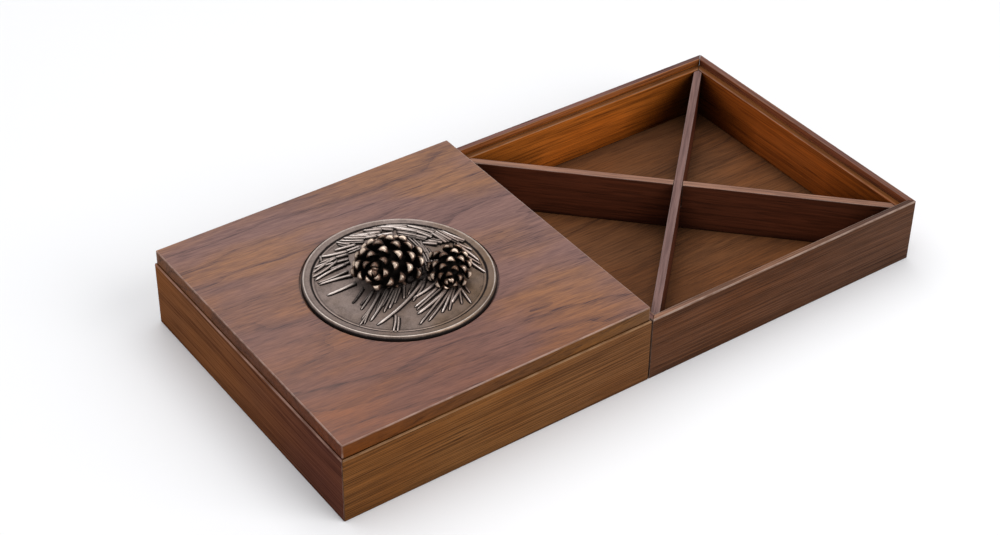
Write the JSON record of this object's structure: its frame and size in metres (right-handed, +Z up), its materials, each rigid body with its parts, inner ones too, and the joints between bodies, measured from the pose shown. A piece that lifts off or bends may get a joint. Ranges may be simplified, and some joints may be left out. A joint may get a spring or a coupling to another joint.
{
  "type": "nut box",
  "caption": "Square wooden nut box: an open tray with an X divider beside a matching tray closed by a lift-off lid with a cast pine-cone medallion.",
  "frame": {"origin": "on the floor, midway between the two trays; bottom centre of the whole object's box", "axes": "+Z up, +X from the closed tray towards the open tray, +Y towards the back"},
  "size_m": [0.4002, 0.2, 0.0767],
  "materials": {
    "wall_wood": "walnut-stained ash with open straight grain, satin lacquer",
    "base_wood": "stained ash veneer, satin lacquer",
    "divider_wood": "walnut-stained thin board, satin lacquer",
    "lid_wood": "walnut-stained ash with flowing grain, satin lacquer",
    "cast_metal": "cast, antique bronze patina with burnished high spots"
  },
  "bodies": {
    "lower_tray": {"lower_tray_front_wall": "wall_wood", "lower_tray_right_wall": "wall_wood", "lower_tray_back_wall": "wall_wood", "lower_tray_left_wall": "wall_wood", "lower_tray_base": "base_wood", "lower_tray_long_divider": "divider_wood", "lower_tray_cross_divider": "divider_wood"},
    "upper_tray": {"upper_tray_front_wall": "wall_wood", "upper_tray_right_wall": "wall_wood", "upper_tray_back_wall": "wall_wood", "upper_tray_left_wall": "wall_wood", "upper_tray_base": "base_wood", "upper_tray_long_divider": "divider_wood", "upper_tray_cross_divider": "divider_wood"},
    "lid": {"lid_panel": "lid_wood", "lid_front_batten": "divider_wood", "lid_right_batten": "divider_wood", "lid_back_batten": "divider_wood", "lid_left_batten": "divider_wood", "medallion_plate": "cast_metal", "large_pine_cone": "cast_metal", "small_pine_cone": "cast_metal"}
  },
  "joints": [
    {"name": "tray_lift", "type": "slide", "parent": "lower_tray", "child": "upper_tray", "axis": [0, 0, 1], "range_m": [0, 0.06]},
    {"name": "lid_lift", "type": "slide", "parent": "upper_tray", "child": "lid", "axis": [0, 0, 1], "range_m": [0, 0.06]}
  ]
}
